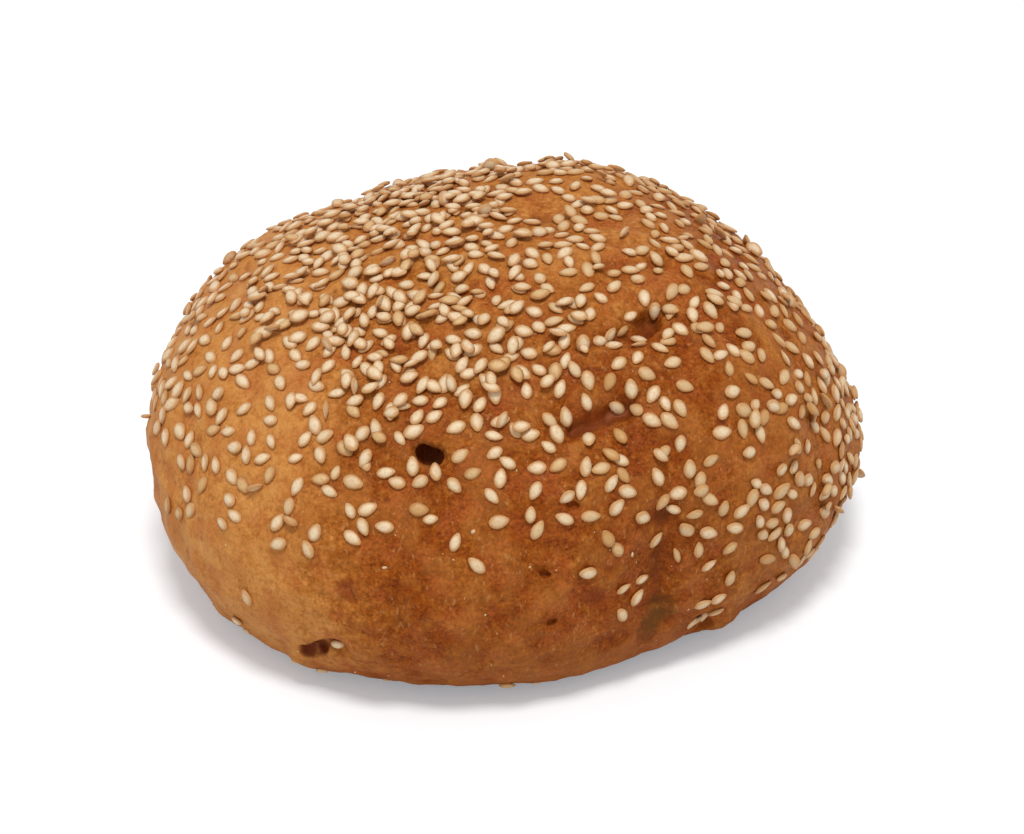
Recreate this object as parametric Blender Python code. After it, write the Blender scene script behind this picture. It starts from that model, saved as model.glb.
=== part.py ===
"""A round sesame bread roll, about 104 mm across: one solid of crust and crumb, without its seeds.

The dough is a ball pressed into a squat, softly three-cornered dome that leans to one side. Its
underside is settled flat, as on a baking tray, and the hollows, folds, pores and torn spots of
the crust are pressed into its surface.

Frame: +Z up, the origin in the middle of the flat base, the front towards -Y, in metres.
"""

import math
from collections import namedtuple

import bmesh
import bpy
from mathutils import Vector, noise

# Driving dimensions of the dough
HALF_WIDTH = 0.0514  # along X at the girth, the widest ring
HALF_DEPTH = 0.0468  # along Y at the girth
GIRTH_HEIGHT = 0.0184  # the girth above the tray
DOME_RISE = 0.0346  # the crown above the girth
BELLY_DROP = 0.0312  # how far the belly would hang below the girth with no tray under it
BELLY_FULLNESS = 2.45  # 2 is an ellipse, and more is squarer
CROWN_LEAN = Vector((0.0078, -0.0018, 0.0))  # the crown's shift from above the girth's middle
TRAY_EDGE = 0.0025  # half the height over which the side rounds into the flat base

# The three soft corners, as a share of the radius, and the bearing of one of them
BASE_CORNERS, BASE_TURN = 0.053, math.radians(-4)
CROWN_CORNERS, CROWN_TURN = 0.067, math.radians(-53)

# Slow swells and small waves all over the crust: the size of one, and its height
UNEVENNESS = ((0.0210, 0.0009), (0.0085, 0.00040))
WANDER_SIZE, WANDER = 0.0060, 0.0010  # how the outline of each mark below strays

FINENESS = 5  # icosphere subdivisions: a triangle's side is about 3 mm
FINE_STEPS = 4  # rounds of splitting near marks that are smaller than that
FINE_SHARE = 0.60  # the longest triangle side near a mark, as a share of the mark's radius
FINE_LIMIT = 0.0022  # a side shorter than this has been split, so its triangles are evened out
REACH = 1.9  # how many radii away a mark still matters

# A mark in the crust runs from one place to another, or stays at one. A place is its bearing
# from +X and its climb from the girth, in degrees. A negative depth is a swelling. The rim is
# how steep the mark's sides are.
Mark = namedtuple("Mark", "start end radius depth rim")
SOFT, FIRM, STEEP = 2, 3, 5

MARKS = (
    # Broad flats and swells of the whole dough
    Mark((76, 46), (52, 50), 0.0110, 0.0007, SOFT),
    Mark((22, 28), (0, 20), 0.0130, 0.0010, SOFT),
    Mark((-22, -4), (-22, -4), 0.0140, -0.0006, SOFT),
    Mark((-90, -4), (-104, -4), 0.0140, -0.0009, SOFT),
    Mark((152, 26), (152, 26), 0.0110, -0.0006, SOFT),
    Mark((128, 42), (118, 44), 0.0100, 0.0010, SOFT),
    # The basin in the crown, the swellings round it and the crease at its right
    Mark((89, 84), (60, 82), 0.0070, 0.0014, SOFT),
    Mark((110, 66), (70, 64), 0.0070, -0.0007, SOFT),
    Mark((-24, 69), (-42, 73), 0.0026, 0.0011, SOFT),
    Mark((-20, 62), (-40, 64), 0.0050, -0.0006, SOFT),
    # The two hollows below the crown, with the lip between them
    Mark((-50, 62), (-58, 60), 0.0046, 0.0020, SOFT),
    Mark((-54, 61), (-54, 61), 0.0018, 0.0012, FIRM),
    Mark((-76, 58), (-54, 54), 0.0030, -0.0007, SOFT),
    Mark((-75, 43), (-69, 45), 0.0040, 0.0018, SOFT),
    # The fold that runs from them down the right of the front, and the lobe beyond it
    Mark((-64, 36), (-60, 12), 0.0064, 0.0013, SOFT),
    Mark((-61, 5), (-63, -8), 0.0036, 0.0014, SOFT),
    Mark((-42, 14), (-38, 30), 0.0130, -0.0010, SOFT),
    # The torn bubble in the front, deeper on its left
    Mark((-106, 35.5), (-105, 35.5), 0.0014, 0.0026, STEEP),
    Mark((-103, 35), (-103, 35), 0.0017, 0.0011, FIRM),
    # The creases on the left of the crown
    Mark((-128, 70), (-138, 64), 0.0022, 0.0009, SOFT),
    Mark((-125, 55), (-150, 52), 0.0060, 0.0008, SOFT),
    Mark((-112, 57), (-118, 62), 0.0055, -0.0006, SOFT),
    # Pores low in the front
    Mark((-81.3, 10), (-81.3, 10), 0.0009, 0.0010, SOFT),
    Mark((-80.3, -4), (-80.3, -4), 0.0010, 0.0009, SOFT),
    Mark((-77, 25.5), (-77, 25.5), 0.0008, 0.0007, SOFT),
    Mark((-79, 15), (-79, 15), 0.0018, 0.0006, SOFT),
    # The crease at the front's left corner
    Mark((-112, 9), (-112, 2), 0.0018, 0.0005, SOFT),
    Mark((-106, 9), (-104, -6), 0.0028, 0.0005, SOFT),
    # The torn spots at the lower edge, each with the tab that stands beside it
    Mark((-116, -16), (-113, -14), 0.0015, 0.0015, FIRM),
    Mark((-121, -24), (-121, -24), 0.0020, -0.0010, FIRM),
    Mark((-50, -22), (-48, -23), 0.0015, 0.0012, FIRM),
    Mark((-44, -26), (-44, -26), 0.0022, -0.0009, FIRM),
)


def dough_point(direction):
    """Where a direction from the dough's middle meets the smooth roll, with no tray under it."""
    bearing = math.atan2(direction.y, direction.x)
    climb = max(-1.0, min(1.0, direction.z))
    out = math.sqrt(1 - climb**2)
    crown_share = max(climb, 0.0)
    corners = (1 - crown_share) * BASE_CORNERS * math.cos(3 * (bearing - BASE_TURN))
    corners += crown_share * CROWN_CORNERS * math.cos(3 * (bearing - CROWN_TURN))
    if climb < 0:
        out **= 2 / BELLY_FULLNESS
    out *= 1 + corners
    point = Vector(
        (
            HALF_WIDTH * out * math.cos(bearing),
            HALF_DEPTH * out * math.sin(bearing),
            GIRTH_HEIGHT + (DOME_RISE if climb > 0 else BELLY_DROP) * climb,
        )
    )
    return point + CROWN_LEAN * crown_share**2


def place_on_dough(place):
    """The point of the smooth roll at a bearing and a climb in degrees."""
    bearing, climb = (math.radians(angle) for angle in place)
    out = math.cos(climb)
    return dough_point(Vector((out * math.cos(bearing), out * math.sin(bearing), math.sin(climb))))


def distance_to_mark(point, mark):
    """How far a point is from the middle line of a mark whose ends are points, in metres."""
    point = point + WANDER * noise.noise_vector(point / WANDER_SIZE)
    along = mark.end - mark.start
    share = (point - mark.start).dot(along) / along.length_squared if along.length else 0.0
    return (point - mark.start - along * max(0.0, min(1.0, share))).length


def even_out(dough):
    """Slides the corners of small triangles along the surface, midway to their neighbours."""
    dough.normal_update()
    slides = []
    for vertex in dough.verts:
        if min(edge.calc_length() for edge in vertex.link_edges) < FINE_LIMIT:
            around = [edge.other_vert(vertex).co for edge in vertex.link_edges]
            shift = (sum(around, Vector()) / len(around) - vertex.co) / 2
            slides.append((vertex, shift - vertex.normal * shift.dot(vertex.normal)))
    for vertex, slide in slides:
        vertex.co += slide


def too_coarse(edge, marks):
    """Whether a triangle's side is too long to show a mark that it lies near."""
    length = edge.calc_length()
    middle = (edge.verts[0].co + edge.verts[1].co) / 2
    return any(
        length > FINE_SHARE * mark.radius
        and distance_to_mark(middle, mark) < REACH * mark.radius
        for mark in marks
    )


def split_near_small_marks(dough, marks):
    """Splits the sides of triangles near marks that the ball's own triangles would miss."""
    for _ in range(FINE_STEPS):
        long_sides = [edge for edge in dough.edges if too_coarse(edge, marks)]
        bmesh.ops.subdivide_edges(dough, edges=long_sides, cuts=1)
        bmesh.ops.triangulate(dough, faces=dough.faces)
        fine = [edge for edge in dough.edges if edge.calc_length() < FINE_LIMIT]
        bmesh.ops.beautify_fill(dough, faces=dough.faces, edges=fine)
        even_out(dough)


def relief(point, marks):
    """How far the crust lies in from the smooth roll at a point, in metres."""
    depth = sum(
        mark.depth * math.exp(-((distance_to_mark(point, mark) / mark.radius) ** mark.rim))
        for mark in marks
    )
    for size, height in UNEVENNESS:
        depth += height * noise.noise(point / size)
    return depth


def press_in_marks(dough, marks):
    """Moves each point of the crust in or out along the smooth roll's own normal."""
    dough.normal_update()
    moves = [(vertex, -vertex.normal * relief(vertex.co, marks)) for vertex in dough.verts]
    for vertex, move in moves:
        vertex.co += move


def settle_on_tray(dough):
    """Flattens what hangs below the tray, with a rounded edge, and centres the roll on it."""
    everything = [*dough.verts, *dough.edges, *dough.faces]
    bmesh.ops.bisect_plane(
        dough, geom=everything, dist=1e-5, plane_co=(0, 0, -TRAY_EDGE), plane_no=(0, 0, 1)
    )
    for vertex in dough.verts:
        if vertex.co.z < TRAY_EDGE:
            sunk = max(0.0, vertex.co.z + TRAY_EDGE)
            vertex.co.z = sunk**2 / (4 * TRAY_EDGE)
    middle = Vector(
        [(min(axis) + max(axis)) / 2 for axis in zip(*(vertex.co for vertex in dough.verts))]
    )
    bmesh.ops.translate(dough, verts=dough.verts, vec=(-middle.x, -middle.y, 0))


def crust_material():
    """Golden brown crust: matte, with the faint sheen of a baked skin."""
    material = bpy.data.materials.new("crust")
    material.use_nodes = True
    shader = material.node_tree.nodes["Principled BSDF"]
    shader.inputs["Base Color"].default_value = (0.46, 0.19, 0.05, 1.0)
    shader.inputs["Roughness"].default_value = 0.6
    shader.inputs["Metallic"].default_value = 0.0
    return material


def make_roll(collection):
    """The whole roll, one closed mesh."""
    dough = bmesh.new()
    bmesh.ops.create_icosphere(dough, subdivisions=FINENESS, radius=1.0)
    for vertex in dough.verts:
        vertex.co = dough_point(vertex.co.normalized())
    marks = [
        mark._replace(start=place_on_dough(mark.start), end=place_on_dough(mark.end))
        for mark in MARKS
    ]
    split_near_small_marks(dough, marks)
    press_in_marks(dough, marks)
    settle_on_tray(dough)
    bmesh.ops.triangulate(dough, faces=dough.faces)
    mesh = bpy.data.meshes.new("roll")
    dough.to_mesh(mesh)
    dough.free()
    mesh.shade_smooth()
    mesh.materials.append(crust_material())
    roll = bpy.data.objects.new("roll", mesh)
    collection.objects.link(roll)
    return roll


def main():
    for old in list(bpy.data.objects):
        bpy.data.objects.remove(old)
    collection = bpy.data.collections.new("bread_roll")
    bpy.context.scene.collection.children.link(collection)
    make_roll(collection)


main()
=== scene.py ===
# A sesame bread roll: its baked crust, the seeds strewn over it and the husk crumbs between them,
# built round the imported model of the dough. Lengths are in metres unless a name says mm.

import math
import random

import bmesh
import bpy
from mathutils import Matrix, Vector, noise
from mathutils.bvhtree import BVHTree


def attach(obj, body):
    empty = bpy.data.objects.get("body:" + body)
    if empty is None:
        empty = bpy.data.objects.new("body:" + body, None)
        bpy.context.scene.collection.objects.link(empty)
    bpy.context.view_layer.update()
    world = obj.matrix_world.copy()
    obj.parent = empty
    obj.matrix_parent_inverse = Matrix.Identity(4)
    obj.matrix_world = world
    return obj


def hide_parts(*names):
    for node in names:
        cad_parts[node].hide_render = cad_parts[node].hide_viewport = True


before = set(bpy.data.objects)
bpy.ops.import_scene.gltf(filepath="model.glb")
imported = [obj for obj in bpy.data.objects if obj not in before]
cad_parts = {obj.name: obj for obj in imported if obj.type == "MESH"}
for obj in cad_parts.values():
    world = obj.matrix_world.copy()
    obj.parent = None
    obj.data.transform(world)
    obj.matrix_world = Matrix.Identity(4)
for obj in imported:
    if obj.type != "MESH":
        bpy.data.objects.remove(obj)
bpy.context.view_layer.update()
mm = 0.001


def smoothStep(low, high, value):
    share = max(0.0, min(1.0, (value - low) / (high - low)))
    return share * share * (3 - 2 * share)


def newPiece(name, bm, material, smooth=True):
    mesh = bpy.data.meshes.new(name)
    bm.to_mesh(mesh)
    bm.free()
    for polygon in mesh.polygons:
        polygon.use_smooth = smooth
    mesh.materials.append(material)
    piece = bpy.data.objects.new(name, mesh)
    bpy.context.scene.collection.objects.link(piece)
    return piece


class wire:  # a socket that sums and products can be written with, each adding its Math node
    def __init__(self, tree, socket=None):
        self.tree = tree
        self.socket = socket

    def add(self, kind, settings=None, sockets=None, output=0):  # any other node
        node = self.tree.nodes.new(kind)
        for name, value in (settings or {}).items():
            if name == "stops":
                ramp = node.color_ramp
                while len(ramp.elements) < len(value):
                    ramp.elements.new(0.5)
                for element, (place, colour) in zip(ramp.elements, value):
                    element.position = place
                    element.color = (*colour, 1)
            else:
                setattr(node, name, value)
        for key, value in (sockets or {}).items():
            if isinstance(value, wire):
                self.tree.links.new(value.socket, node.inputs[key])
            else:
                node.inputs[key].default_value = value
        return wire(self.tree, node.outputs[output])

    def maths(self, operation, *values):
        return self.add("ShaderNodeMath", {"operation": operation}, dict(enumerate(values)))

    def __add__(self, other):
        return self.maths("ADD", self, other)

    def __radd__(self, other):
        return self.maths("ADD", other, self)

    def __sub__(self, other):
        return self.maths("SUBTRACT", self, other)

    def __rsub__(self, other):
        return self.maths("SUBTRACT", other, self)

    def __mul__(self, other):
        return self.maths("MULTIPLY", self, other)

    def __rmul__(self, other):
        return self.maths("MULTIPLY", other, self)


def newMaterial(name):
    material = bpy.data.materials.new(name)
    material.use_nodes = True
    return material, wire(material.node_tree), material.node_tree.nodes["Principled BSDF"]


def mixColour(share, first, second, blend="MIX"):
    first, second = (c if isinstance(c, wire) else (*c, 1) for c in (first, second))
    return share.add(
        "ShaderNodeMix", {"data_type": "RGBA", "blend_type": blend}, {0: share, 6: first, 7: second}, 2
    )


def fade(value, low, high):  # 0 at low, 1 at high, softly
    return value.add(
        "ShaderNodeMapRange", {"interpolation_type": "SMOOTHSTEP"}, {0: value, 1: low, 2: high}
    )


def grain(place, sizeMm, detail=2.0, roughness=0.5, stretch=None):  # noise with features of a size
    if stretch:
        place = place.add("ShaderNodeMapping", None, {0: place, "Scale": stretch})
    sockets = {"Vector": place, "Scale": 1000 / sizeMm, "Detail": detail, "Roughness": roughness}
    return place.add("ShaderNodeTexNoise", None, sockets)


def nearness(place, point, reach, ragged, rough):  # 1 at a point, 0 beyond its ragged reach
    spot = place.add("ShaderNodeVectorMath", {"operation": "DISTANCE"}, {0: place, 1: point}, "Value")
    return 1 - fade(spot + (rough - 0.5) * ragged, 0.45 * reach, reach)


crustLook = {
    "deepBrown": (0.205, 0.035, 0.0038),
    "bakedBrown": (0.265, 0.059, 0.0045),
    "midBrown": (0.390, 0.124, 0.0190),
    "golden": (0.575, 0.236, 0.0560),
    "paleGold": (0.640, 0.315, 0.098),
    "dusty": (0.600, 0.300, 0.105),  # the paler, floury marks on the skin
    "blush": (0.400, 0.090, 0.022),  # redder patches
    "freckle": (0.170, 0.034, 0.008),
    "fold": (0.150, 0.030, 0.006),  # painted shade, down in hollows and folds
    "torn": (0.420, 0.130, 0.060),  # the inside of the torn bubble
    # painted shade, dark and red, in the torn recess of the lower left edge
    "tearShade": (0.140, 0.022, 0.006),
    "tearShadePlaces": [(-0.0273, -0.0412, 0.0080), (-0.0264, -0.0419, 0.0087), (-0.0254, -0.0422, 0.0093),
                   (-0.0243, -0.0434, 0.0106)],
    # painted shade: dark spots at dips in the skin, the crease on the left and the dent below the crown, and one
    # lower on the front
    "creaseShade": (0.220, 0.036, 0.008),
    "creaseShadePlaces": [(-0.0215, -0.0450, 0.0212), (0.0125, -0.0323, 0.0406), (0.0125, -0.0429, 0.0189)],
    "bruise": (0.112, 0.048, 0.011),
    "bruisePlaces": [(0.0190, -0.0375, 0.0095), (0.0204, -0.0369, 0.0108), (0.0217, -0.0366, 0.0124)],
    "roughness": 0.50,
    "bumpDepth": 0.00026,
}


def crustMaterial():
    look = crustLook
    material, tree, shader = newMaterial("crust")
    place = tree.add("ShaderNodeTexCoord", output="Object")
    x, y, z = (tree.add("ShaderNodeSeparateXYZ", None, {0: place}, axis) for axis in range(3))
    hollow = tree.add("ShaderNodeAttribute", {"attribute_name": "hollow"}, output="Fac")

    broad = grain(place, 22, 2)
    blotch = grain(place, 7, 3, 0.55)
    patch = grain(place, 3.2, 3, 0.6)
    mottle = grain(place, 0.9, 3, 0.6)
    speck = grain(place, 0.42, 2, 0.6)
    flour = grain(place, 0.62, 2, 0.5, (1.0, 1.0, 0.45))

    # how lightly the skin is baked: golden on the left flank, less so on the crown and far right; the crown's
    # lightness is partly painted light, a painted highlight on the top that also lifts the skin where the seeds'
    # shade falls
    stray = (broad - 0.5) * 0.018 + (blotch - 0.5) * 0.012
    left = fade(x + stray, -0.015, -0.031)
    # partly a painted highlight: lighter on the crown's top and left
    crown = fade(z + y * 0.25 - x * 0.25 + stray, 0.034, 0.052) * 0.66
    right = fade(x + stray, 0.022, 0.050) * 0.38
    light = 1 - (1 - left) * (1 - crown) * (1 - right)
    mottling = (blotch - 0.5) * 0.45 + (patch - 0.5) * 0.60 + (mottle - 0.5) * 0.60
    light = 0.25 + light * 0.50 + mottling
    names = ("deepBrown", "bakedBrown", "midBrown", "golden", "paleGold")
    stops = [(0.25 * i, look[name]) for i, name in enumerate(names)]
    colour = tree.add("ShaderNodeValToRGB", {"stops": stops}, {0: light})

    # its redder patches, its fine grain, and the flour and freckles on it
    blush = grain(place.add("ShaderNodeVectorMath", {"operation": "ADD"}, {0: place, 1: (0.3, 0.1, 0.2)}), 4.5, 3)
    colour = mixColour(fade(blush, 0.46, 0.66) * 0.42, colour, look["blush"])
    shade = 1 + ((mottle - 0.5) * 0.55 + (speck - 0.5) * 1.80) * (1.15 - light)
    colour = colour.add("ShaderNodeVectorMath", {"operation": "SCALE"}, {0: colour, "Scale": shade})
    colour = mixColour(fade(flour, 0.60, 0.74) * 0.36, colour, look["dusty"])
    freckles = tree.add("ShaderNodeTexVoronoi", None, {"Vector": place, "Scale": 260.0}, "Distance")
    freckles = fade(freckles, 0.20, 0.08) * fade(blotch, 0.48, 0.62)
    colour = mixColour(freckles * 0.55, colour, look["freckle"])

    low = fade(z, 0.012, 0.001)  # browner towards the bottom, over the lowest 12 mm
    colour = mixColour(low * 0.45, colour, look["bakedBrown"])
    # painted highlight: golden where the skin stands above the skin round it, on ridges
    colour = mixColour(fade(hollow, -0.04, -0.35) * 0.20, colour, look["golden"])
    # painted shade: darker and redder where the skin lies below the skin round it
    colour = mixColour(fade(hollow, 0.05, 0.62) * 0.80, colour, look["fold"])
    colour = mixColour(fade(hollow, 0.75, 1.15) * 0.75, colour, look["torn"])
    # painted shade: the torn recess on the lower left darkened
    for point in look["tearShadePlaces"]:
        tearShade = nearness(place, point, 0.0017, 0.0020, patch)
        colour = mixColour(tearShade * 0.92, colour, look["tearShade"])
    # painted shade laid as dark spots at the crease on the left, the dent below the crown and lower on the front
    for point in look["creaseShadePlaces"]:
        creaseShade = nearness(place, point, 0.0026, 0.0040, patch)
        colour = mixColour(creaseShade * 0.55, colour, look["creaseShade"])
    for point in look["bruisePlaces"]:
        bruise = nearness(place, point, 0.0030, 0.0024, patch)
        colour = mixColour(bruise * 0.52, colour, look["bruise"])

    relief = mottle * 0.50 + speck * 0.50 + patch * 0.7
    normal = tree.add(
        "ShaderNodeBump", None, {"Strength": 0.85, "Distance": look["bumpDepth"], "Height": relief}
    )
    links = tree.tree.links
    links.new(colour.socket, shader.inputs["Base Color"])
    links.new(normal.socket, shader.inputs["Normal"])
    rough = (mottle - 0.5) * 0.35 + look["roughness"]
    links.new(rough.socket, shader.inputs["Roughness"])
    shader.inputs["Specular IOR Level"].default_value = 0.06
    return material


seedLook = {
    "pale": {"face": (0.800, 0.630, 0.415), "deep": (0.650, 0.445, 0.230), "edge": (0.550, 0.260, 0.080)},
    "toasted": {"face": (0.680, 0.450, 0.210), "deep": (0.580, 0.330, 0.120), "edge": (0.470, 0.200, 0.055)},
    "roughness": 0.45,
}


def seedMaterial(name, kind):
    look = seedLook[kind]
    material, tree, shader = newMaterial(name)
    place = tree.add("ShaderNodeTexCoord", output="Object")
    tone = tree.add("ShaderNodeAttribute", {"attribute_name": "tone"}, output="Fac")
    rim = tree.add("ShaderNodeAttribute", {"attribute_name": "rim"}, output="Fac")
    fine = grain(place, 0.35, 2)
    blush = grain(place, 1.3, 2)
    # tone carries each seed's random shade and the painted highlight and painted shade set by where it lies
    colour = mixColour(fade(tone + (blush - 0.5) * 0.4, 0.45, 1.15), look["face"], look["deep"])
    colour = mixColour(fade(rim + (fine - 0.5) * 0.45, 0.46, 0.92) * 0.88, colour, look["edge"])
    colour = mixColour(fade(fine, 0.58, 0.34) * 0.30, colour, look["edge"])
    normal = tree.add(
        "ShaderNodeBump", None, {"Strength": 0.5, "Distance": 0.00006, "Height": fine + blush * 0.6}
    )
    links = tree.tree.links
    links.new(colour.socket, shader.inputs["Base Color"])
    links.new(normal.socket, shader.inputs["Normal"])
    links.new((seedLook["roughness"] + (fine - 0.5) * 0.2).socket, shader.inputs["Roughness"])
    shader.inputs["Specular IOR Level"].default_value = 0.35
    return material


crust = {
    "splits": 2,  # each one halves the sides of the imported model's triangles
    "evenings": 10,  # rounds that round off its flat triangles
    "hollowRounds": 60,  # rounds of smoothing that show how deep a hollow is
    "ripples": [(0.0052, 0.00050), (0.0023, 0.00027), (0.0010, 0.00010)],  # size and height
    "fineSide": 0.34,  # mm, the longest side of a triangle beside a mark
    # pressed into the skin: from, to, radius and depth in mm, and how steep the sides are
    "marks": [
        ((-11.0, -34.3, 37.6), (-10.4, -34.8, 36.6), 1.25, 1.0, 4),  # the torn bubble
        ((-9.8, -35.2, 36.8), (-8.2, -36.0, 36.8), 1.2, 0.8, 2.5),
        ((5.4, -44.4, 23.8), (5.9, -44.4, 23.6), 0.50, 0.8, 3),  # pores
        ((6.4, -44.7, 15.7), (6.7, -44.7, 15.9), 0.62, 0.7, 2.5),
        ((9.5, -40.9, 32.8), (9.9, -40.9, 32.6), 0.50, 0.6, 2.5),
        ((-25.5, -43.4, 14.0), (-25.5, -43.4, 14.0), 0.35, 0.4, 2),
        ((0.6, -46.0, 18.6), (0.6, -46.0, 18.6), 0.35, 0.4, 2),
        ((20.0, -18.0, 47.1), (20.0, -18.0, 47.1), 1.6, 1.5, 3),  # the hollows below the crown
        ((10.4, -25.5, 48.5), (19.0, -19.6, 47.4), 1.0, 1.1, 2),
        ((20.6, -17.4, 47.6), (25.9, -11.8, 49.6), 0.9, 0.8, 2),
        ((9.7, -33.8, 40.3), (16.6, -30.4, 41.3), 1.4, 1.4, 2),
        ((13.4, -9.6, 52.0), (22.0, -7.5, 50.8), 1.1, 0.9, 2),
        ((-11.2, -2.3, 51.1), (-9.4, -12.8, 49.5), 1.0, 0.9, 2),  # the fold left of the crown
        ((-20.2, -12.3, 47.4), (-24.3, -16.0, 44.9), 1.2, 0.6, 2),
        ((-6.9, -13.1, 49.6), (-4.7, -20.3, 49.5), 1.1, 0.6, 2),
        ((23.0, -33.8, 37.0), (22.0, -37.6, 27.9), 2.0, 0.5, 2),  # down the right of the front
        ((22.0, -37.6, 27.9), (21.1, -36.7, 13.3), 2.0, 0.5, 2),
        ((-21.8, -44.3, 23.5), (-21.1, -45.5, 20.1), 0.9, 0.3, 2),  # the creases on the left
        ((-15.9, -46.4, 22.0), (-14.5, -46.6, 17.0), 1.0, 0.35, 2),
        ((9.2, -42.3, 30.5), (9.2, -42.3, 30.5), 0.9, 0.45, 3),
        ((7.9, -43.4, 26.7), (8.6, -43.2, 25.8), 1.2, 0.45, 2.5),
        ((-21.5, -45.0, 21.6), (-21.0, -45.1, 20.4), 1.0, 0.35, 2),
        ((-27.4, -41.1, 8.0), (-25.8, -42.1, 9.0), 1.1, 1.1, 4),  # the torn spots of the lower edge
        ((-25.2, -42.3, 9.4), (-23.6, -44.0, 11.4), 0.7, 0.6, 3),
        ((27.4, -31.2, 4.4), (28.8, -31.0, 4.8), 0.9, 1.0, 3),
    ],
    # and broad places where it stands out or lies lower: centre, reach and height in mm
    "swells": [((-12, -41, 5), 12, 0.8), ((8, -40, 5), 12, 1.2), ((20, -35, 5), 9, 1.3),
               ((-22, 8, 46), 16, -0.8), ((2, 20, 50), 16, -0.8), ((27, 15, 44), 14, -0.8),
               ((-42, 4, 33), 11, -0.9), ((46, 8, 27), 11, -0.6)],
}


def markDistance(spot, mark):
    start, end = Vector(mark[0]), Vector(mark[1])
    along = end - start
    share = (spot - start).dot(along) / along.length_squared if along.length else 0
    return (spot - start - along * max(0, min(1, share))).length


def pressed(spot):
    depth = 0.0
    stray = spot + 0.35 * noise.noise_vector(spot / 1.7)
    for mark in crust["marks"]:
        if (spot - Vector(mark[0])).length < 15:
            depth += mark[3] * math.exp(-((markDistance(stray, mark) / mark[2]) ** mark[4]))
    for centre, reach, height in crust["swells"]:
        depth -= height * math.exp(-(((spot - Vector(centre)).length / reach) ** 2))
    return depth


def smoothed(bm, rounds):
    for _ in range(rounds):
        bmesh.ops.smooth_vert(
            bm, verts=bm.verts, factor=0.5, use_axis_x=True, use_axis_y=True, use_axis_z=True
        )


def makeCrust():
    bm = bmesh.new()
    bm.from_mesh(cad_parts["roll"].data)
    bmesh.ops.remove_doubles(bm, verts=bm.verts, dist=1e-6)
    for _ in range(crust["splits"]):
        bmesh.ops.subdivide_edges(bm, edges=bm.edges, cuts=1, use_grid_fill=True)
    smoothed(bm, crust["evenings"])
    for _ in range(2):
        near = []
        for edge in bm.edges:
            if edge.calc_length() / mm > crust["fineSide"]:
                spot = (edge.verts[0].co + edge.verts[1].co) / (2 * mm)
                if any((spot - Vector(mark[0])).length < 9 and markDistance(spot, mark) < 1.7 * mark[2]
                       for mark in crust["marks"] if mark[4] > 2):
                    near.append(edge)
        bmesh.ops.subdivide_edges(bm, edges=near, cuts=1)
        bmesh.ops.triangulate(bm, faces=bm.faces)
    bm.normal_update()
    for vertex in bm.verts:  # the skin's own ripples, none under the roll
        point = vertex.co
        lift = sum(height * noise.noise(point / size) for size, height in crust["ripples"])
        lift -= pressed(point / mm) * mm
        vertex.co = point + vertex.normal * lift * smoothStep(0.0005, 0.004, point.z)
    bm.normal_update()

    # how far each point lies below the skin round it, in mm, which the crust's colour turns into painted shade in
    # hollows and a painted highlight on ridges
    sunk = [(vertex.co.copy(), vertex.normal.copy()) for vertex in bm.verts]
    smoothed(bm, crust["hollowRounds"])
    hollow = bm.verts.layers.float.new("hollow")
    for vertex, (point, normal) in zip(bm.verts, sunk):
        vertex[hollow] = (vertex.co - point).dot(normal) / mm
        vertex.co = point
    tree = BVHTree.FromBMesh(bm)
    piece = newPiece("crust", bm, crustMaterial())
    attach(piece, "root")
    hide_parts("roll")
    return piece, tree


seeds = {
    "length": 0.00268, "width": 0.00178, "thickness": 0.00080,
    "sizeSpread": 0.07,
    "tries": 80000,
    "thin": 0.210,  # spots for each square mm on the open sides
    "thick": 0.680,  # and on the crown's left
    "gap": 0.00205,  # the least distance between seeds that lie side by side
    "piledShare": (0.035, 0.42),  # of the seeds that would lie on another, those that stay
    "pileLift": 0.00040,
    "sunk": 0.00018,
    "tilt": 6, "edgeShare": 0.03,  # degrees, and the share that stands on edge
    "toastedShare": 0.13,
    # down to what height in mm the seeds lie, by bearing round the roll in degrees
    "lowest": [(-180, 24), (-150, 21), (-130, 23), (-108, 30), (-85, 31), (-68, 27), (-50, 17),
               (-32, 8), (0, 6), (60, 10), (120, 15), (180, 24)],
    # where none lies: the torn bubble, the hollow under the crown and the torn spots of the edge
    "bare": [((-9.7, -35.0, 36.9), 2.7), ((20.0, -18.0, 47.1), 2.0), ((12.8, -31.8, 41.0), 2.4),
             ((5.8, 6.4, 51.4), 3.6), ((21.1, -36.7, 11.5), 3.0)],
    # single ones further down: bearing, height in mm and heading in degrees from level
    "strays": [(-133, 15.1, 120), (-153.5, 20.2, 90), (-98.6, 28.9, 70), (-94.7, 26, 135), (-122.7, 26, 135),
               (-103.3, 31.6, 10), (-91, 31.4, 10), (-105.5, 32.8, 0), (-71.3, 27.8, 110), (-69.5, 25.7, 120),
               (-75.2, 23.2, 165), (-68.2, 18.6, 20), (-65.2, 16.1, 40), (-64, 18.7, 0), (-68.6, 14.5, 120),
               (-51.4, 11.2, 10), (-48.2, 11.3, 10), (-50.9, 18.2, 20), (-46.4, 14.6, 80), (-138, 7.6, 30),
               (-89.5, 3.2, 5), (-29, 10.4, 60), (-118.2, 10.6, 26), (-47.5, 8.2, 50), (-38, 9.5, 30),
               (-176, 36, 30), (-173, 35, 100), (-178, 37.2, 60), (-170, 36.5, 140), (-179, 34.5, 20),
               (-174, 38.2, 80), (-84, 30.2, 60), (-79, 31.5, 150), (-61, 24.5, 45), (-57, 21.5, 110)],
}


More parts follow.
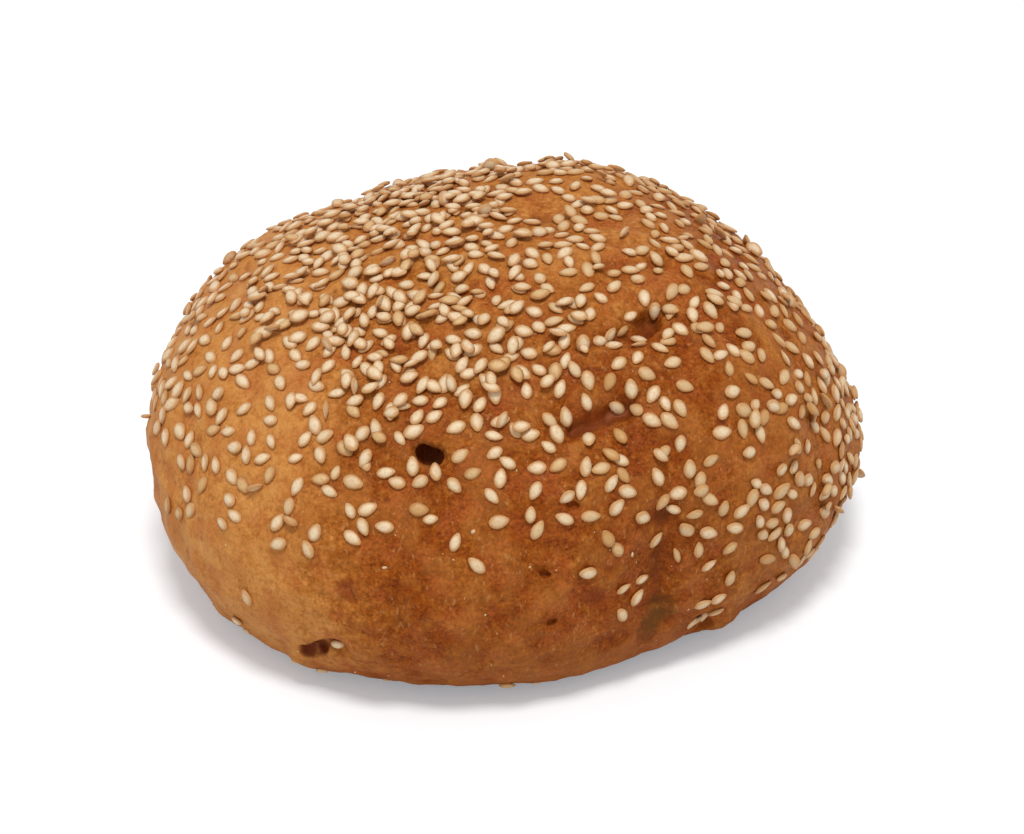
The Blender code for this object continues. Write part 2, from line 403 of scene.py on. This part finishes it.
def seedShape(plump):
    # a flat drop: one end round and full, the other drawn to a blunt tip
    bm = bmesh.new()
    bmesh.ops.create_uvsphere(bm, u_segments=8, v_segments=7, radius=1.0)
    bmesh.ops.rotate(bm, verts=bm.verts, cent=(0, 0, 0), matrix=Matrix.Rotation(math.pi / 2, 3, "Y"))
    for vertex in bm.verts:
        along = vertex.co.x
        tip = smoothStep(-0.5, 1.0, along)
        full = 1 + 0.12 * (1 - along * along) - 0.22 * tip
        vertex.co.x = along * (1 + 0.05 * tip)
        vertex.co.y *= full * plump
        vertex.co.z *= 1 - 0.25 * tip
    size = (seeds["length"] / 2, seeds["width"] / 2, seeds["thickness"] / 2)
    bmesh.ops.scale(bm, verts=bm.verts, vec=size)
    return bm


def lowestSeed(bearing):
    for (first, low), (second, high) in zip(seeds["lowest"], seeds["lowest"][1:]):
        if bearing <= second:
            return low + (high - low) * (bearing - first) / (second - first)
    return low


def howThick(point):
    # spots for each square mm of crust: most on the crown's left, none low on the front and left
    spot = point / mm
    for centre, reach in seeds["bare"]:
        if (spot - Vector(centre)).length < reach:
            return 0
    bearing = math.degrees(math.atan2(point.y, point.x))
    drift = noise.noise(point / 0.011 + Vector((3.1, 0.4, 7.7)))
    lowest = lowestSeed(bearing)
    share = smoothStep(lowest - 2, lowest + 10, spot.z + 3 * drift)
    crown = smoothStep(38, 48, spot.z + 2 * drift) * smoothStep(22, -14, spot.x)
    crown = max(crown, 0.30 * smoothStep(42, 50, spot.z))
    edge = smoothStep(30, 46, spot.x) * 0.09
    thick = seeds["thin"] + edge + (seeds["thick"] - seeds["thin"]) * crown
    return share * thick * (1 + 0.35 * noise.noise(point / 0.006))


def scatter(piece, rng):
    # spots spread evenly by area, each kept with the chance its place gives
    mesh = piece.data
    mesh.calc_loop_triangles()
    triangles = [t for t in mesh.loop_triangles if t.center.z > 0.002]
    areas = []
    total = 0.0
    for triangle in triangles:
        total += triangle.area
        areas.append(total)
    perMm2 = seeds["tries"] / (total / mm**2)
    spots = []
    for triangle in rng.choices(triangles, cum_weights=areas, k=seeds["tries"]):
        a, b, c = (mesh.vertices[i].co for i in triangle.vertices)
        u, v = rng.random(), rng.random()
        if u + v > 1:
            u, v = 1 - u, 1 - v
        point = a + (b - a) * u + (c - a) * v
        if rng.random() < howThick(point) / perMm2:
            spots.append((point, triangle.normal.copy()))
    return spots


def spotOn(tree, bearing, height):
    # a spot on the side of the roll, with the normal of the skin round it
    outward = Vector((math.cos(bearing), math.sin(bearing), 0))
    point, normal, _, _ = tree.ray_cast(outward * 0.1 + Vector((0, 0, height)), -outward)
    for _, other, _, _ in tree.find_nearest_range(point, seeds["width"]):
        normal = normal + other
    return point, normal.normalized()


def placeSeeds(piece, tree, rng):
    placed = []
    for bearing, height, heading in seeds["strays"]:
        point, normal = spotOn(tree, math.radians(bearing), height * mm)
        placed.append((point, normal, 0, math.radians(heading)))
    low, high = seeds["piledShare"]
    for point, normal in scatter(piece, rng):
        near = sum((point - other[0]).length < seeds["gap"] for other in placed)
        stays = low + (high - low) * smoothStep(seeds["thin"], seeds["thick"], howThick(point))
        if near and (near > 2 or rng.random() > stays):
            continue
        placed.append((point, normal, near, rng.uniform(0, 2 * math.pi)))
    return placed


def standingOn(point, normal, heading):  # x along the heading, from level, and z along the normal
    side = Vector((0, 0, 1)).cross(normal)
    side = side.normalized() if side.length > 1e-6 else Vector((1, 0, 0))
    turn = Matrix((side, normal.cross(side), normal)).transposed().to_4x4()
    return Matrix.Translation(point) @ turn @ Matrix.Rotation(heading, 4, "Z")


def seedMatrix(point, normal, layer, heading, rng):
    slope = math.radians(seeds["tilt"]) * (1 + 0.7 * layer)
    roll, pitch = rng.gauss(0, slope), rng.gauss(0, slope * 0.6)
    lift = seeds["thickness"] / 2 - seeds["sunk"] + layer * seeds["pileLift"]
    if rng.random() < seeds["edgeShare"]:
        roll = math.radians(rng.uniform(50, 90))
        lift += 0.00035
    size = max(0.80, min(1.18, 1 + rng.gauss(0, seeds["sizeSpread"])))
    turn = Matrix.Rotation(pitch, 4, "Y") @ Matrix.Rotation(roll, 4, "X")
    return standingOn(point + normal * lift, normal, heading) @ turn @ Matrix.Scale(size, 4)


def makeSeeds(name, kind, matrices, rng):
    shapes = [seedShape(plump) for plump in (1.0, 0.93, 1.06, 0.86, 0.98)]
    bm = bmesh.new()
    tone = bm.verts.layers.float.new("tone")
    rim = bm.verts.layers.float.new("rim")
    for matrix in matrices:
        shape = rng.choice(shapes)
        spot = matrix.translation  # painted light: paler as a painted highlight on the crown's left, deeper as painted shade towards the right
        shade = rng.random() + 0.30 * smoothStep(-0.010, 0.040, spot.x)
        shade -= 0.45 * smoothStep(0.036, 0.048, spot.z) * smoothStep(0.012, -0.012, spot.x)
        twins = {v: bm.verts.new(matrix @ v.co) for v in shape.verts}
        for old, new in twins.items():
            new[tone] = shade
            across = Vector((old.co.x / seeds["length"], old.co.y / seeds["width"]))
            new[rim] = min(1.0, 2 * across.length)
        for face in shape.faces:
            bm.faces.new([twins[v] for v in face.verts])
    for shape in shapes:
        shape.free()
    piece = newPiece(name, bm, seedMaterial(name, kind))
    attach(piece, "root")
    return piece


crumbs = {
    "fine": 170,  # husk specks on the bare skin
    "fineSize": (0.00018, 0.00038),
    "sunk": 0.3,  # the share of a crumb's height that is in the skin
    # torn flakes and bits on the lower edge: bearing, height, length, width and thickness in mm, heading
    "flakes": [(-50.5, 6.6, 3.4, 1.5, 0.8, 15), (-52.5, 7.4, 2.4, 1.1, 0.6, 45), (-48.2, 6.6, 2.8, 2.0, 0.9, 65),
               (-51.6, 6.6, 1.5, 0.7, 0.4, 5), (-136.5, 6.2, 1.6, 0.9, 0.5, 20), (-127.5, 4.0, 1.5, 0.8, 0.6, 10),
               (-123.0, 3.2, 2.0, 1.0, 0.8, 0), (-112, 2.8, 1.2, 0.6, 0.4, 5), (-84, 2.6, 1.3, 0.6, 0.4, 0),
               (-95.5, 30.4, 0.9, 0.6, 0.3, 40), (-66.5, 24.0, 1.0, 0.5, 0.3, 80), (-110, 25.2, 0.9, 0.5, 0.3, 10)],
}


def crumbMaterial():
    material, tree, shader = newMaterial("crumbs")
    place = tree.add("ShaderNodeTexCoord", output="Object")
    tone = tree.add("ShaderNodeAttribute", {"attribute_name": "tone"}, output="Fac")
    fine = grain(place, 0.4, 2)
    colour = mixColour(fade(tone + (fine - 0.5) * 0.8, 0.2, 0.9), (0.72, 0.49, 0.28), (0.50, 0.21, 0.07))
    normal = tree.add("ShaderNodeBump", None, {"Strength": 0.6, "Distance": 0.00008, "Height": fine})
    tree.tree.links.new(colour.socket, shader.inputs["Base Color"])
    tree.tree.links.new(normal.socket, shader.inputs["Normal"])
    shader.inputs["Roughness"].default_value = 0.7
    shader.inputs["Specular IOR Level"].default_value = 0.1
    return material


def addCrumb(bm, matrix, scale, tone, paleness, rng):
    made = bmesh.ops.create_icosphere(bm, subdivisions=1, radius=0.5)["verts"]
    shade = rng.random() * paleness
    for vertex in made:
        ragged = 1 + 0.30 * rng.uniform(-1, 1)
        vertex.co = matrix @ Vector(c * s * ragged for c, s in zip(vertex.co, scale))
        vertex[tone] = shade


def makeCrumbs(tree, rng):
    bm = bmesh.new()
    tone = bm.verts.layers.float.new("tone")
    for bearing, height, length, width, thickness, heading in crumbs["flakes"]:
        point, normal = spotOn(tree, math.radians(bearing), height * mm)
        matrix = standingOn(point + normal * 0.2 * thickness * mm, normal, math.radians(heading))
        addCrumb(bm, matrix, Vector((length, width, thickness)) * mm, tone, 0.15, rng)
    for _ in range(crumbs["fine"]):
        point, normal = spotOn(tree, rng.uniform(-math.pi, math.pi), rng.uniform(0.004, 0.046))
        size = rng.uniform(*crumbs["fineSize"])
        scale = Vector((size * rng.uniform(1, 1.9), size, size * 0.7))
        matrix = standingOn(point + normal * (0.5 - crumbs["sunk"]) * scale.z, normal, rng.uniform(0, math.pi))
        addCrumb(bm, matrix, scale, tone, 1.0, rng)
    piece = newPiece("crumbs", bm, crumbMaterial())
    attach(piece, "root")
    return piece


studio = {
    "cameraHeight": 35,  # degrees above level
    "cameraDistance": 0.600,
    "lens": 145.0,
    "aim": (0.00107, -0.00289, 0.02088),
    "world": 0.60,
    "sun": 1.75, "sunFrom": (0.0, -0.24, 1.0), "sunSpread": 15,
    "floorGlow": (0.226, 0.254, 0.274),
}


def makeStudio():
    scene = bpy.context.scene
    camera = bpy.data.objects.new("camera", bpy.data.cameras.new("camera"))
    camera.data.lens = studio["lens"]
    camera.data.sensor_width = 36
    camera.data.clip_start = 0.01
    height = math.radians(studio["cameraHeight"])
    aim = Vector(studio["aim"])
    back = Vector((0, -math.cos(height), math.sin(height)))
    camera.location = aim + back * studio["cameraDistance"]
    camera.rotation_euler = back.to_track_quat("Z", "Y").to_euler()
    scene.collection.objects.link(camera)
    scene.camera = camera

    world = bpy.data.worlds.new("softbox")
    world.use_nodes = True
    world.node_tree.nodes["Background"].inputs["Color"].default_value = (1, 1, 1, 1)
    world.node_tree.nodes["Background"].inputs["Strength"].default_value = studio["world"]
    scene.world = world

    sun = bpy.data.objects.new("sun", bpy.data.lights.new("sun", "SUN"))
    sun.data.energy = studio["sun"]
    sun.data.angle = math.radians(studio["sunSpread"])
    sun.rotation_euler = Vector(studio["sunFrom"]).to_track_quat("Z", "Y").to_euler()
    scene.collection.objects.link(sun)

    material, tree, shader = newMaterial("floor")
    shader.inputs["Base Color"].default_value = (0.80, 0.80, 0.80, 1)
    shader.inputs["Roughness"].default_value = 1.0
    shader.inputs["Specular IOR Level"].default_value = 0.0
    shader.inputs["Emission Strength"].default_value = 1.0
    seen = tree.add("ShaderNodeLightPath", output="Is Camera Ray")
    glow = mixColour(seen, (0, 0, 0), studio["floorGlow"])  # lifts the floor to white for the camera only
    tree.tree.links.new(glow.socket, shader.inputs["Emission Color"])
    bm = bmesh.new()
    bmesh.ops.create_grid(bm, x_segments=1, y_segments=1, size=3.0)
    newPiece("floor", bm, material, smooth=False)

    scene.view_settings.view_transform = "Standard"


rng = random.Random(7)
noise.seed_set(7)  # or noise_vector takes its offsets from the clock, and each run differs
crustPiece, crustTree = makeCrust()
print("crust", len(crustPiece.data.polygons), "faces")

placedSeeds = placeSeeds(crustPiece, crustTree, rng)
matrices = {"pale": [], "toasted": []}
for point, normal, layer, heading in placedSeeds:
    kind = "toasted" if rng.random() < seeds["toastedShare"] else "pale"
    matrices[kind].append(seedMatrix(point, normal, layer, heading, rng))
makeSeeds("seeds_pale", "pale", matrices["pale"], rng)
makeSeeds("seeds_toasted", "toasted", matrices["toasted"], rng)
print("seeds", len(placedSeeds))
makeCrumbs(crustTree, rng)
print("crumbs")

makeStudio()
print("studio")
